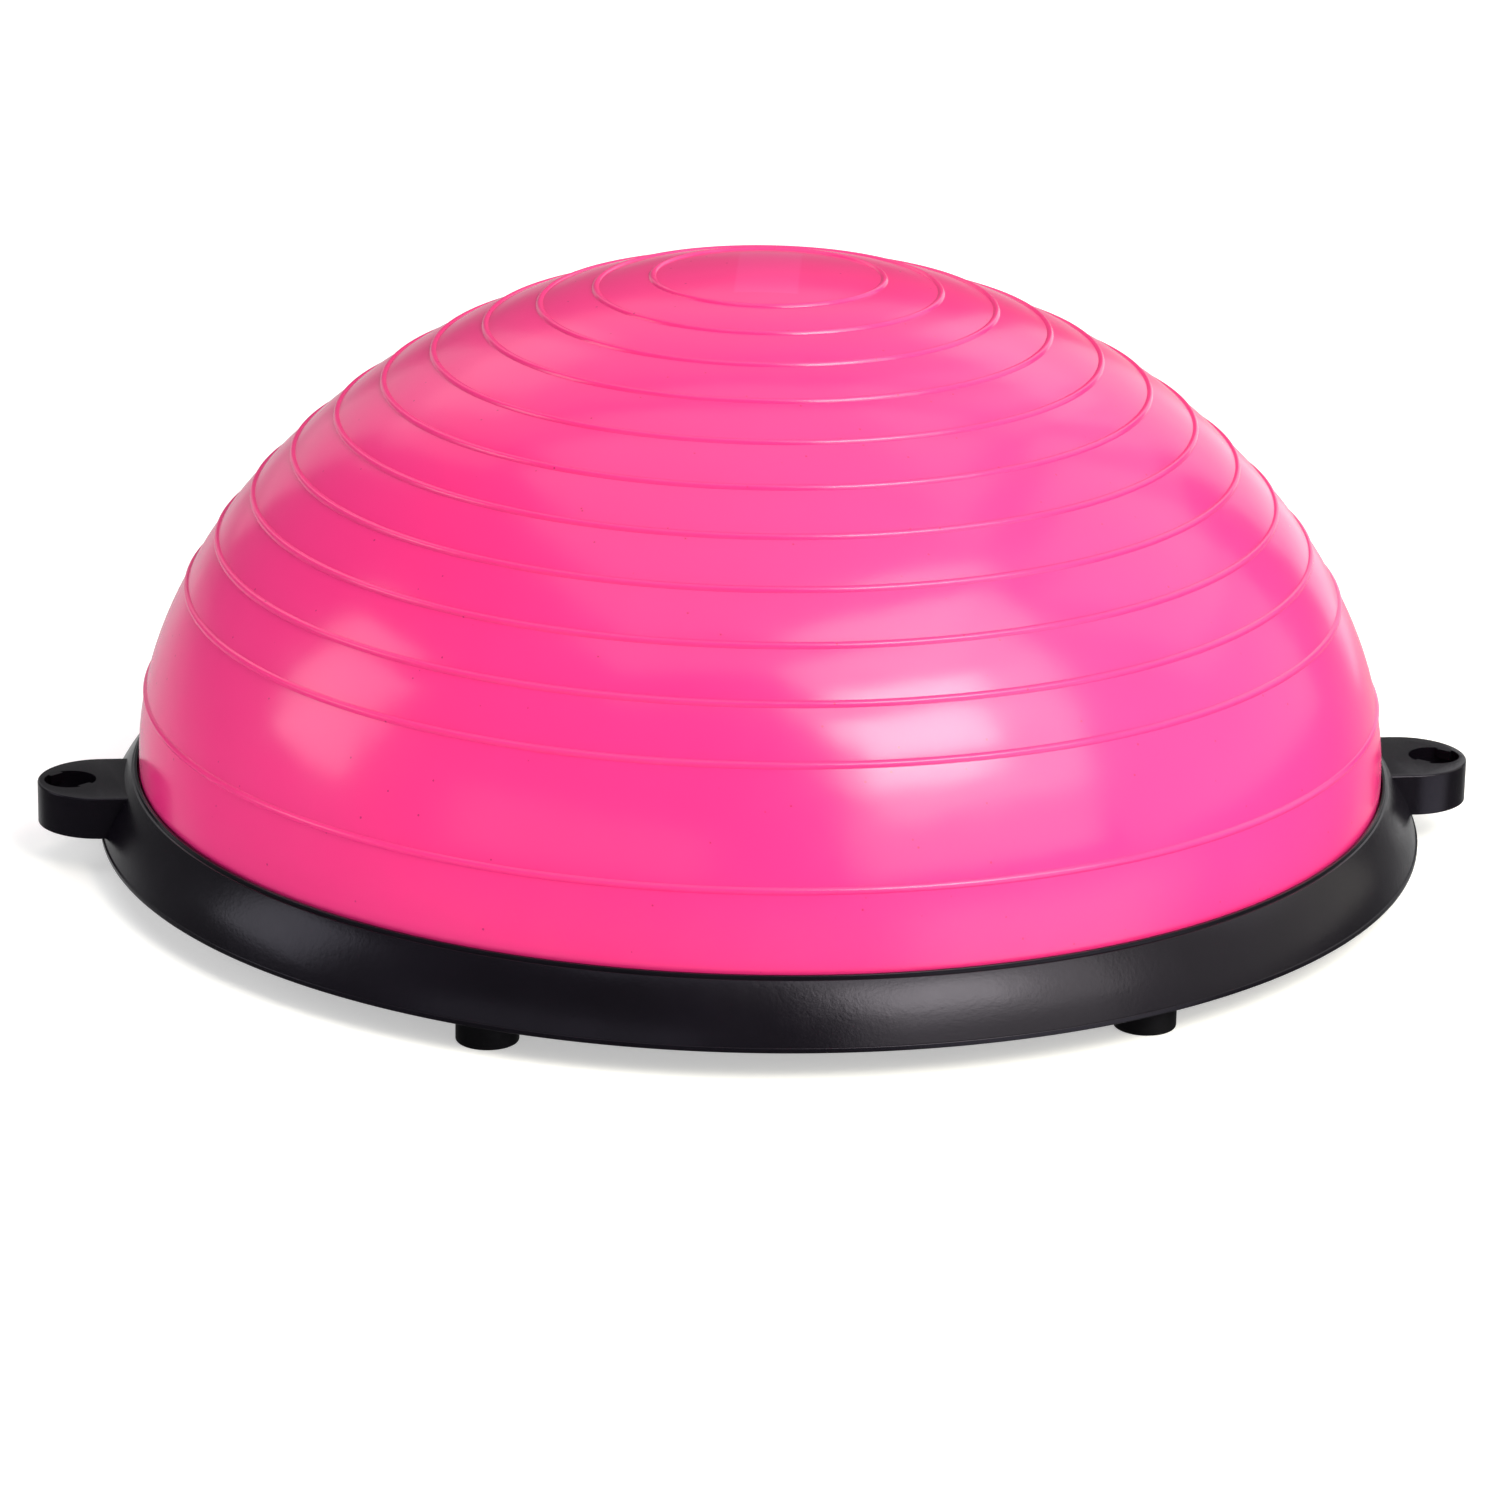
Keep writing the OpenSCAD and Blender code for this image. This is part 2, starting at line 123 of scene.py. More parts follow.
# %% Hang the lights
LIGHT_AIM = Vector((0.03, -0.12, 0.13))
# name: turn and rise in degrees, distance, width, height, power in watts
LIGHTS = {
    "key_box": (38, 45, 2.3, 1.85, 1.80, 42),
    "key_core": (29, 40, 2.2, 1.00, 0.70, 21),
    "key_low": (34, 16, 2.3, 2.00, 0.85, 12),
    "left_strip": (-98, 21, 2.3, 0.85, 0.95, 6),
    "left_wall": (-40, 14, 3.0, 2.60, 0.90, 4),
    "right_wall": (92, 27, 2.8, 3.40, 2.60, 24),
    "rear_wall": (180, 42, 3.0, 3.60, 1.60, 9),
    "rear_panel": (149, 14, 2.6, 0.90, 2.20, 5),
    "rear_left": (-158, 22, 2.8, 0.70, 2.00, 2),
    "top_fill": (0, 89, 3.0, 3.40, 3.40, 36),
    "side_ceiling": (117, 45, 2.4, 1.90, 1.90, 6),
    "left_fill": (-102, 8, 2.6, 2.00, 1.40, 14),
}
WARM = ("key_box", "key_core", "key_low", "right_wall")
WARM_TINT = (1, 0.97, 0.84)
NO_SHINE = ("left_fill",)


def hang(name, turn, rise, distance, width, height, power):
    """An area light that faces the dome from a turn and a rise in degrees."""
    data = bpy.data.lights.new(name, "AREA")
    data.shape = "RECTANGLE"
    data.size = width
    data.size_y = height
    data.energy = power
    data.color = WARM_TINT if name in WARM else (1, 1, 1)
    light = bpy.data.objects.new(name, data)
    light.visible_glossy = name not in NO_SHINE
    bpy.context.scene.collection.objects.link(light)
    toward = direction(math.radians(turn), math.radians(rise))
    light.location = LIGHT_AIM + toward * distance
    light.rotation_euler = toward.to_track_quat("Z", "Y").to_euler()
    return light


for name, (turn, rise, distance, width, height, power) in LIGHTS.items():
    hang(name, turn, rise, distance, width, height, power)
print("lights:", ", ".join(LIGHTS))

# %% [markdown]
# ## The room around it
# A glossy skin shows the room it stands in. The room is a dim grey, with two paler places
# low down, where a white floor would show: one behind, and one in front on the right. The
# camera itself sees an even, pale backdrop.

# %% Paint the room
ROOM_GREY = 0.15
REAR_GREY = 0.65
GLEAM = 1.5
BACKDROP_GREY = 0.92
world = bpy.data.worlds.new("studio")
bpy.context.scene.world = world
world.use_nodes = True
nodes, links = world.node_tree.nodes, world.node_tree.links
room_light = nodes["Background"]
backdrop = nodes.new("ShaderNodeBackground")
backdrop.inputs["Color"].default_value = (BACKDROP_GREY, BACKDROP_GREY, BACKDROP_GREY, 1)
seen = nodes.new("ShaderNodeLightPath")
either = nodes.new("ShaderNodeMixShader")
links.new(seen.outputs["Is Camera Ray"], either.inputs[0])
links.new(room_light.outputs[0], either.inputs[1])
links.new(backdrop.outputs[0], either.inputs[2])
links.new(either.outputs[0], nodes["World Output"].inputs[0])


def ramp(value, start, end, low, high):
    """Maps part of a direction to a range of numbers."""
    node = nodes.new("ShaderNodeMapRange")
    node.inputs["From Min"].default_value = start
    node.inputs["From Max"].default_value = end
    node.inputs["To Min"].default_value = low
    node.inputs["To Max"].default_value = high
    links.new(value, node.inputs["Value"])
    return node.outputs["Result"]


def join(operation, first, second):
    """Adds or multiplies two numbers in the world's nodes."""
    node = nodes.new("ShaderNodeMath")
    node.operation = operation
    links.new(first, node.inputs[0])
    links.new(second, node.inputs[1])
    return node.outputs[0]


way = nodes.new("ShaderNodeSeparateXYZ")
links.new(nodes.new("ShaderNodeTexCoord").outputs["Generated"], way.inputs[0])
behind = ramp(way.outputs["Y"], 0.55, 0.95, 0, 1)
low_down = ramp(way.outputs["Z"], 0.08, -0.12, 0, 1)
in_front = ramp(way.outputs["Y"], -0.15, -0.45, 0, GLEAM)
to_right = ramp(way.outputs["X"], 0.26, 0.46, 0, 1)
rear = ramp(join("MULTIPLY", behind, low_down), 0, 1, ROOM_GREY, REAR_GREY)
gleam = join("MULTIPLY", join("MULTIPLY", in_front, to_right), low_down)
links.new(join("ADD", rear, gleam), room_light.inputs["Color"])
bpy.context.scene.view_settings.view_transform = "Standard"
print("room grey", ROOM_GREY, "backdrop grey", BACKDROP_GREY)

# %% [markdown]
# ## Drawing an outline and turning it
# Almost everything here is round, and a lathe makes round things. In Blender that is an
# outline spun about an axis. The outline starts as a plane merged to one point, and the
# point is extruded from corner to corner, as it would be clicked by hand. Corners get
# their rounding in the outline, so the light finds an edge to catch.

# %% Helpers for outlines
CORNER_STEPS = 4
MERGE = 1e-6
NEAR = 1e-5


def arc(centre, radius, first, last, steps):
    """Points of an arc, with turns in radians measured from the upright axis."""
    turns = [first + (last - first) * k / steps for k in range(steps + 1)]
    return [centre + radius * Vector((math.sin(turn), math.cos(turn))) for turn in turns]


def round_corner(before, here, after, radius, steps=CORNER_STEPS):
    """The corner between three points as a short arc of that radius."""
    back = (Vector(before) - Vector(here)).normalized()
    ahead = (Vector(after) - Vector(here)).normalized()
    half = back.angle(ahead) / 2
    centre = Vector(here) + (back + ahead).normalized() * radius / math.sin(half)
    start = Vector(here) + back * radius / math.tan(half) - centre
    end = Vector(here) + ahead * radius / math.tan(half) - centre
    spread = [start.lerp(end, k / steps).normalized() for k in range(steps + 1)]
    return [centre + step * radius for step in spread]


def rounded(corners):
    """A closed outline from (r, z, rounding) corners."""
    points = []
    for i, (r, z, size) in enumerate(corners):
        if size == 0:
            points.append(Vector((r, z)))
            continue
        before = corners[i - 1][:2]
        after = corners[(i + 1) % len(corners)][:2]
        points += round_corner(before, (r, z), after, size)
    return points


print("outline helpers ready, corner steps:", CORNER_STEPS)


# %% Helpers for drawing, spinning and joining
def draw(name, points):
    """A new object with the outline drawn in the XZ plane, left in edit mode."""
    deselect_all()
    bpy.ops.mesh.primitive_plane_add(size=0.01)
    piece = bpy.context.object
    piece.name = name
    bpy.ops.object.mode_set(mode="EDIT")
    bpy.ops.mesh.select_mode(type="VERT")
    bpy.ops.mesh.select_all(action="SELECT")
    bpy.ops.mesh.merge(type="CENTER")
    bpy.ops.transform.translate(value=(points[0].x, 0, points[0].y))
    for last, here in zip(points, points[1:]):
        step = (here.x - last.x, 0, here.y - last.y)
        bpy.ops.mesh.extrude_region_move(TRANSFORM_OT_translate={"value": step})
    return piece


def turn_on_lathe(name, points, steps, smooth=40):
    """Spins an outline about the Z axis into a closed solid. Ends on the axis stay apart."""
    open_at_axis = points[0].x < NEAR and points[-1].x < NEAR
    piece = draw(name, points if open_at_axis else points + points[:1])
    bpy.ops.mesh.select_all(action="SELECT")
    whole = 2 * math.pi
    bpy.ops.mesh.spin(steps=steps, angle=whole, center=(0, 0, 0), axis=(0, 0, 1))
    bpy.ops.mesh.select_all(action="SELECT")
    bpy.ops.mesh.remove_doubles(threshold=MERGE)
    bpy.ops.mesh.normals_make_consistent(inside=False)
    bpy.ops.object.mode_set(mode="OBJECT")
    smooth_by_angle(piece, smooth)
    return piece


def smooth_by_angle(piece, degrees):
    """Smooth shading, with edges sharper than the angle left crisp."""
    active(piece)
    bpy.ops.object.shade_smooth_by_angle(angle=math.radians(degrees))


def combine(piece, tool, operation):
    """Applies a Boolean modifier to a piece and throws the tool away."""
    active(piece)
    bpy.ops.object.modifier_add(type="BOOLEAN")
    modifier = piece.modifiers[-1]
    modifier.operation = operation
    modifier.solver = "EXACT"
    modifier.object = tool
    bpy.ops.object.modifier_apply(modifier=modifier.name)
    bpy.data.objects.remove(tool)
    return piece


def select_where(piece, test, kind="faces"):
    """In edit mode, selects the faces, edges or vertices that pass a test."""
    bpy.ops.mesh.select_all(action="DESELECT")
    mode = {"verts": "VERT", "edges": "EDGE", "faces": "FACE"}[kind]
    bpy.ops.mesh.select_mode(type=mode)
    mesh = bmesh.from_edit_mesh(piece.data)
    chosen = [part for part in getattr(mesh, kind) if test(part)]
    for part in chosen:
        part.select_set(True)
    mesh.select_flush_mode()
    bmesh.update_edit_mesh(piece.data)
    return len(chosen)


def report(piece):
    """Prints a piece's faces and size in millimetres."""
    size = [round(side * 1000, 1) for side in piece.dimensions]
    print(piece.name, len(piece.data.polygons), "faces, size in mm", size)


print("modelling helpers ready")

# %% [markdown]
# ## The dome's skin
# The real dome is one hollow moulding of PVC, blown tight. Its side is three arcs that
# meet smoothly, with thin ridges moulded every 25 mm for grip. Air pushes the panels
# between the ridges out a little, which is why a highlight breaks at each ridge. A
# displaced sphere would blur the ridges, so the side is drawn point by point from the
# arcs and spun.

# %% Work out the dome's side
dome_low, dome_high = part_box("dome_bladder")
ring_low, ring_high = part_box("clamp_ring")
FLOOR_Z = dome_low.z
BEAD_R = dome_high.x
LIP_Z = ring_high.z
RIM_R = ring_high.y
RING_W = 0.0164
LIP_IN_R = RIM_R - RING_W
WALL = 0.0032
BEAD_T = 0.0045
SKIRT_R = 0.1334
CROWN_TURN = math.radians(50.4)
SHOULDER_TURN = math.radians(70.8)
LIP_GAP = 0.001
WAIST_UP = 0.0318
WAIST = Vector((LIP_IN_R - LIP_GAP, ring_low.z + WAIST_UP))
RIDGES = 12
RIDGE_H = 0.0011
RIDGE_W = 0.0032
PANEL_BULGE = 0.0003
PLAIN_BAND = 0.034

# The crown's and the shoulder's radii follow from the width and the drop that the skirt's
# arc leaves for them: two equations, solved by Cramer's rule.
crown_out = math.sin(CROWN_TURN)
shoulder_out = math.sin(SHOULDER_TURN) - crown_out
crown_drop = 1 - math.cos(CROWN_TURN)
shoulder_drop = math.cos(CROWN_TURN) - math.cos(SHOULDER_TURN)
out_left = WAIST.x - SKIRT_R * (1 - math.sin(SHOULDER_TURN))
drop_left = dome_high.z - WAIST.y - SKIRT_R * math.cos(SHOULDER_TURN)
det = crown_out * shoulder_drop - shoulder_out * crown_drop
CROWN_R = (out_left * shoulder_drop - shoulder_out * drop_left) / det
SHOULDER_R = (crown_out * drop_left - crown_drop * out_left) / det


def up(turn):
    """Unit vector at a turn from the upright axis, in the (r, z) plane."""
    return Vector((math.sin(turn), math.cos(turn)))


crown_centre = Vector((0, dome_high.z - CROWN_R))
shoulder_centre = crown_centre + (CROWN_R - SHOULDER_R) * up(CROWN_TURN)
skirt_centre = shoulder_centre + (SHOULDER_R - SKIRT_R) * up(SHOULDER_TURN)
CROWN_LEN = CROWN_R * CROWN_TURN
SHOULDER_LEN = CROWN_LEN + SHOULDER_R * (SHOULDER_TURN - CROWN_TURN)


def skirt_len(z):
    """Length along the side from the crown to a height on the skirt."""
    turn = math.acos((z - skirt_centre.y) / SKIRT_R)
    return SHOULDER_LEN + SKIRT_R * (turn - SHOULDER_TURN)


def side_point(length, out):
    """Point of the side at a length from the crown, moved out by a distance."""
    if length < CROWN_LEN:
        return crown_centre + (CROWN_R + out) * up(length / CROWN_R)
    if length < SHOULDER_LEN:
        turn = CROWN_TURN + (length - CROWN_LEN) / SHOULDER_R
        return shoulder_centre + (SHOULDER_R + out) * up(turn)
    turn = SHOULDER_TURN + (length - SHOULDER_LEN) / SKIRT_R
    return skirt_centre + (SKIRT_R + out) * up(turn)


PITCH = (skirt_len(LIP_Z) - PLAIN_BAND) / (RIDGES + 2)
ridge_lens = [PITCH * k for k in range(2, RIDGES + 1)] + [PITCH * (RIDGES + 2)]
side_end = skirt_len(FLOOR_Z + BEAD_T)
print("arcs in mm:", [round(r * 1000, 1) for r in (CROWN_R, SHOULDER_R, SKIRT_R)])
print("ridge pitch in mm:", round(PITCH * 1000, 2))

# %% Draw and spin the skin
PANEL_STEPS = 8
RIDGE_STEPS = [-1, -0.9, -0.65, -0.35, 0, 0.35, 0.65, 0.9, 1]
FOOT_MARGIN = 0.0004
SKIN_SPIN = 256
INNER_STEPS = 40
VALVE_HOLE_R = 0.00885
BEAD_ROUND = 0.0012


def panel(start, end, bulge):
    """Plain stretch between two ridges, with a support point close to each ridge."""
    shares = [k / PANEL_STEPS for k in range(1, PANEL_STEPS)]
    lengths = [start + (end - start) * share for share in shares]
    outs = [bulge * 4 * share * (1 - share) for share in shares]
    lengths = [start + FOOT_MARGIN] + lengths + [end - FOOT_MARGIN]
    near = bulge * 4 * FOOT_MARGIN / (end - start)
    outs = [near] + outs + [near]
    return [side_point(length, out) for length, out in zip(lengths, outs)]


def ridge(middle):
    """Rounded ridge across the side."""
    half = RIDGE_W / 2
    return [side_point(middle + t * half, RIDGE_H * (1 - t * t)) for t in RIDGE_STEPS]


side = [Vector((0, dome_high.z))]
start = 0
for count, middle in enumerate(ridge_lens):
    side += panel(start, middle - RIDGE_W / 2, PANEL_BULGE if count else 0)
    side += ridge(middle)
    start = middle + RIDGE_W / 2
side += panel(start, side_end, 0)

bead_top = FLOOR_Z + BEAD_T
bead = [(side[-1].x, bead_top), (BEAD_R, bead_top), (BEAD_R, FLOOR_Z), (VALVE_HOLE_R, FLOOR_Z)]
side += round_corner(bead[0], bead[1], bead[2], BEAD_ROUND)
side += round_corner(bead[1], bead[2], bead[3], BEAD_ROUND)
side += [Vector(bead[3]), Vector((VALVE_HOLE_R, FLOOR_Z + WALL))]
inner_last = skirt_len(FLOOR_Z + WALL)
side += [side_point(inner_last * k / INNER_STEPS, -WALL) for k in range(INNER_STEPS, -1, -1)]
dome_skin = turn_on_lathe("dome_skin", side, SKIN_SPIN, smooth=50)
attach(dome_skin, "trainer")
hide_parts("dome_bladder")
report(dome_skin)

# %% [markdown]
# ## The valve seat
# A soft insert is fused into the dome's floor and grips the plug. It is a tube with a
# flange inside the dome. One outline with rounded edges makes it in a single spin.

# %% Spin the valve seat
seat_low, seat_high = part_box("valve_seat")
PLUG_R = 0.00445
SEAT_BORE_R = PLUG_R + 0.00005
SEAT_TUBE_R = 0.009
SEAT_FLANGE_T = 0.002
SEAT_ROUND = 0.0006
SMALL_SPIN = 64
inside_z = FLOOR_Z + WALL
flange_top = inside_z + SEAT_FLANGE_T
valve_seat = turn_on_lathe("valve_seat_insert", rounded([
    (SEAT_BORE_R, seat_low.z, 0.0003),
    (SEAT_TUBE_R, seat_low.z, 0),
    (SEAT_TUBE_R, inside_z, 0),
    (seat_high.x, inside_z, SEAT_ROUND),
    (seat_high.x, flange_top, SEAT_ROUND),
    (SEAT_TUBE_R, flange_top, SEAT_ROUND),
    (SEAT_TUBE_R, seat_high.z, SEAT_ROUND),
    (SEAT_BORE_R, seat_high.z, SEAT_ROUND),
]), SMALL_SPIN)
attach(valve_seat, "trainer")
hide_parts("valve_seat")
report(valve_seat)

# %% [markdown]
# ## The clamp ring
# The ring is an injection moulding: a sloped skirt with a stepped lip that presses on the
# dome's bead, and a hollow lug on each side that takes a band. One half is built as a
# solid: the ring's section is spun, the lug is joined, and the room for the platform and
# the dome is cut out with Booleans. A Mirror modifier then makes the other half, so both
# lugs match.

# %% Spin the ring's solid
RING_Z = ring_low.z
EDGE_TOP_Z = RING_Z + 0.0023
LIP_STEP = 0.0017
CREASE_R = LIP_IN_R + 0.0025
CREASE_Z = LIP_Z - LIP_STEP
RING_SPIN = 256
EDGE_ROUND = 0.0006
CREASE_ROUND = 0.0003
LEDGE_W = 0.0007
LEDGE_ROUND = 0.0004
SLOPE_BULGE = 0.0013
SLOPE_STEPS = 8
LIP_SET = 0.0009
LIP_LEAN = LIP_STEP / 8
slope_foot = Vector((RIM_R - LEDGE_W, EDGE_TOP_Z))
slope_head = Vector((CREASE_R, CREASE_Z))
slope_out = Vector((slope_head.y - slope_foot.y, slope_foot.x - slope_head.x)).normalized()


def slope_point(share):
    """Corner on the ring's gently rounded slope, at a share of its height."""
    point = slope_foot.lerp(slope_head, share) + slope_out * SLOPE_BULGE * 4 * share * (1 - share)
    return (point.x, point.y, 0)


ring_outline = [(RIM_R, RING_Z, EDGE_ROUND), (RIM_R, EDGE_TOP_Z, LEDGE_ROUND)]
ring_outline += [slope_point(k / SLOPE_STEPS) for k in range(SLOPE_STEPS)]
ring_outline += [
    (CREASE_R, CREASE_Z, CREASE_ROUND),
    (CREASE_R - LIP_SET, CREASE_Z + LIP_LEAN, 0),
    (CREASE_R - LIP_SET - LIP_LEAN, LIP_Z, CREASE_ROUND),
]


def slope_r(z):
    """Radius of the ring's sloped face at a height."""
    return RIM_R - (RIM_R - CREASE_R) * (z - EDGE_TOP_Z) / (CREASE_Z - EDGE_TOP_Z)


def ring_solid(name, inner_r):
    """The ring as a band from an inner radius, or a full disc from radius 0."""
    corners = ring_outline + [(inner_r, LIP_Z, 0), (inner_r, RING_Z, 0)]
    return turn_on_lathe(name, rounded(corners), RING_SPIN)


# The spare width reaches inside the lip, so that the cut below leaves one clean face.
SPARE_W = 0.008
clamp_ring = ring_solid("clamp_ring_moulding", LIP_IN_R - SPARE_W)
report(clamp_ring)

# %% Shape a lug
LUG_R = 0.0275
LUG_WALL = 0.003
LUG_PLATE_T = 0.004
LUG_TOP_Z = RING_Z + 0.022
LUG_LOW_Z = RING_Z + 0.0037
LUG_X = ring_high.x - LUG_R
LUG_IN_X = LIP_IN_R - LUG_WALL
LUG_SEGMENTS = 128
LUG_BEVEL = 0.0009


def lug_block(name, inset, low, high, bevel=0):
    """Half a drum, drawn out to a straight-sided lug under the ring's slope."""
    deselect_all()
    middle = (LUG_X, 0, (low + high) / 2)
    bpy.ops.mesh.primitive_cylinder_add(
        vertices=LUG_SEGMENTS, radius=LUG_R - inset, depth=high - low, location=middle)
    piece = bpy.context.object
    piece.name = name
    bpy.ops.object.transform_apply(location=True, rotation=True, scale=True)
    bpy.ops.object.mode_set(mode="EDIT")
    bpy.ops.mesh.select_all(action="SELECT")
    bpy.ops.mesh.bisect(
        plane_co=(LUG_X, 0, 0), plane_no=(1, 0, 0), use_fill=True, clear_inner=True)
    select_where(piece, lambda f: abs(f.calc_center_median().x - LUG_X) < NEAR
                 and abs(f.normal.x) > 0.9)
    inward = (LUG_IN_X - LUG_X, 0, 0)
    bpy.ops.mesh.extrude_region_move(TRANSFORM_OT_translate={"value": inward})
    if bevel:
        def on_top(edge):
            ends = [vert.co for vert in edge.verts]
            flat = all(abs(end.z - high) < NEAR for end in ends)
            return flat and any(end.x > LUG_IN_X + NEAR for end in ends)
        select_where(piece, on_top, "edges")
        bpy.ops.mesh.select_mode(type="EDGE")
        bpy.ops.mesh.bevel(offset=bevel, segments=4, affect="EDGES")
    bpy.ops.mesh.select_all(action="SELECT")
    bpy.ops.mesh.normals_make_consistent(inside=False)
    bpy.ops.object.mode_set(mode="OBJECT")
    return piece


combine(clamp_ring, lug_block("lug", 0, LUG_LOW_Z, LUG_TOP_Z, LUG_BEVEL), "UNION")
report(clamp_ring)

# %% Cut the room for the dome and the platform
platform_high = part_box("base_platform")[1]
PLATFORM_UP = 0.002
SKIN_T = 0.0035
UNDER_Z = RING_Z + PLATFORM_UP
SKIN_TOP_Z = UNDER_Z + SKIN_T
RING_WALL = 0.0035
RING_IN_R = slope_r(SKIN_TOP_Z) - RING_WALL
PAST = 0.001
cavity = turn_on_lathe("cavity", [Vector(corner) for corner in [
    (0, RING_Z - PAST),
    (RING_IN_R, RING_Z - PAST),
    (RING_IN_R, SKIN_TOP_Z),
    (slope_r(bead_top) - RING_WALL, bead_top),
    (LIP_IN_R, bead_top),
    (LIP_IN_R, LIP_Z + PAST),
    (0, LIP_Z + PAST),
]], RING_SPIN)
combine(clamp_ring, cavity, "DIFFERENCE")
report(clamp_ring)

# %% Hollow the lug and cut its socket
record = frame["record"]
socket = {mount["name"]: mount for mount in record["mounts"]}["band_socket_right"]
SOCKET_X = socket["pos_m"][0]
SOCKET_R = 0.0113
TAB_R = 0.009
TAB_W = 0.0066
TAB_TURN = math.radians(50)
LUG_RIB_T = 0.0026
CORE_TOP_Z = LUG_TOP_Z - LUG_PLATE_T


def drum(name, radius, x, low, high, vertices=LUG_SEGMENTS):
    """Upright cylinder on the X axis, used as a cutting tool."""
    deselect_all()
    bpy.ops.mesh.primitive_cylinder_add(
        vertices=vertices, radius=radius, depth=high - low, location=(x, 0, (low + high) / 2))
    piece = bpy.context.object
    piece.name = name
    bpy.ops.object.transform_apply(location=True, rotation=True, scale=True)
    return piece


def bar(name, size, middle, turn=0):
    """Box of a size about a middle point, turned about the upright axis."""
    deselect_all()
    bpy.ops.mesh.primitive_cube_add(size=1, location=middle, rotation=(0, 0, turn))
    piece = bpy.context.object
    piece.name = name
    piece.scale = size
    bpy.ops.object.transform_apply(location=True, rotation=True, scale=True)
    return piece


core = lug_block("core", LUG_WALL, LUG_LOW_Z - PAST, CORE_TOP_Z)
combine(core, ring_solid("ring_core", 0), "DIFFERENCE")
combine(core, drum("socket_wall", SOCKET_R + LUG_WALL, SOCKET_X, RING_Z, LIP_Z), "DIFFERENCE")
rib_length = SOCKET_X - LUG_IN_X
rib_middle = ((SOCKET_X + LUG_IN_X) / 2, 0, (RING_Z + LIP_Z) / 2)
combine(core, bar("rib", (rib_length, LUG_RIB_T, LIP_Z - RING_Z), rib_middle), "DIFFERENCE")
combine(clamp_ring, core, "DIFFERENCE")

hole = drum("hole", SOCKET_R, SOCKET_X, LUG_LOW_Z - PAST, LUG_TOP_Z + PAST)
tab_high = LUG_TOP_Z + 2 * PAST
for turn in (TAB_TURN, TAB_TURN + math.pi):
    reach = TAB_R + SOCKET_R / 2
    middle = (SOCKET_X + reach * math.cos(turn), reach * math.sin(turn), (CORE_TOP_Z + tab_high) / 2)
    tab = bar("tab", (SOCKET_R, TAB_W, tab_high - CORE_TOP_Z), middle, turn)
    combine(hole, tab, "DIFFERENCE")
combine(clamp_ring, hole, "DIFFERENCE")
report(clamp_ring)

# %% Add the screw bosses and mirror the half
RIM_SCREWS = 12
RIM_BOSS_R = 0.0036
BOSS_BORE_R = 0.0016
BOSS_BORE_L = 0.0075
BORE_END_T = 0.0015
BOSS_TOP_Z = SKIN_TOP_Z + BOSS_BORE_L + BORE_END_T
BOSS_INSET = 0.001
SCREW_CIRCLE = RING_IN_R - BOSS_INSET - RIM_BOSS_R
BOSS_SEGMENTS = 32
SKIN_MARGIN = 0.0003


def repeat_round(piece, count, first_turn):
    """Turns a piece to its first place and copies it round the Z axis."""
    active(piece)
    bpy.ops.object.mode_set(mode="EDIT")
    bpy.ops.mesh.select_all(action="SELECT")
    bpy.ops.transform.rotate(
        value=first_turn, orient_axis="Z", orient_type="GLOBAL", center_override=(0, 0, 0))
    spread = 2 * math.pi * (count - 1) / count
    bpy.ops.mesh.spin(
        steps=count - 1, dupli=True, angle=spread, center=(0, 0, 0), axis=(0, 0, 1))
    bpy.ops.object.mode_set(mode="OBJECT")
    return piece


boss = drum("bosses", RIM_BOSS_R, SCREW_CIRCLE, SKIN_TOP_Z, BOSS_TOP_Z, BOSS_SEGMENTS)
slope = Vector((CREASE_Z - EDGE_TOP_Z, 0, RIM_R - CREASE_R)).normalized()
bpy.ops.object.mode_set(mode="EDIT")
bpy.ops.mesh.select_all(action="SELECT")
bpy.ops.mesh.bisect(
    plane_co=Vector((RIM_R, 0, EDGE_TOP_Z)) - slope * SKIN_MARGIN, plane_no=slope,
    use_fill=True, clear_outer=True)
bpy.ops.object.mode_set(mode="OBJECT")
repeat_round(boss, RIM_SCREWS, math.pi / RIM_SCREWS)
combine(clamp_ring, boss, "UNION")
bore = drum("bores", BOSS_BORE_R, SCREW_CIRCLE, SKIN_TOP_Z - PAST,
            SKIN_TOP_Z + BOSS_BORE_L, BOSS_SEGMENTS)
repeat_round(bore, RIM_SCREWS, math.pi / RIM_SCREWS)
combine(clamp_ring, bore, "DIFFERENCE")

active(clamp_ring)
bpy.ops.object.mode_set(mode="EDIT")
bpy.ops.mesh.select_all(action="SELECT")
bpy.ops.mesh.bisect(plane_co=(0, 0, 0), plane_no=(1, 0, 0), clear_inner=True)
bpy.ops.object.mode_set(mode="OBJECT")
bpy.ops.object.modifier_add(type="MIRROR")
clamp_ring.modifiers[-1].merge_threshold = 1e-5
bpy.ops.object.modifier_apply(modifier=clamp_ring.modifiers[-1].name)
bpy.ops.object.mode_set(mode="EDIT")
bpy.ops.mesh.select_all(action="SELECT")
bpy.ops.mesh.remove_doubles(threshold=MERGE)
bpy.ops.mesh.normals_make_consistent(inside=False)
bpy.ops.object.mode_set(mode="OBJECT")
smooth_by_angle(clamp_ring, 30)
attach(clamp_ring, "trainer")
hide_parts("clamp_ring")
report(clamp_ring)

# %% [markdown]
# ## The platform
# A person stands on this face when the trainer is turned over, so it has raised grip
# rings. Above its flat skin, rib rings and radial ribs carry the dome's floor, and a land
# carries the bead. All that is round goes into one outline. The radial ribs are one box
# copied round, and the screw holes are cut last.

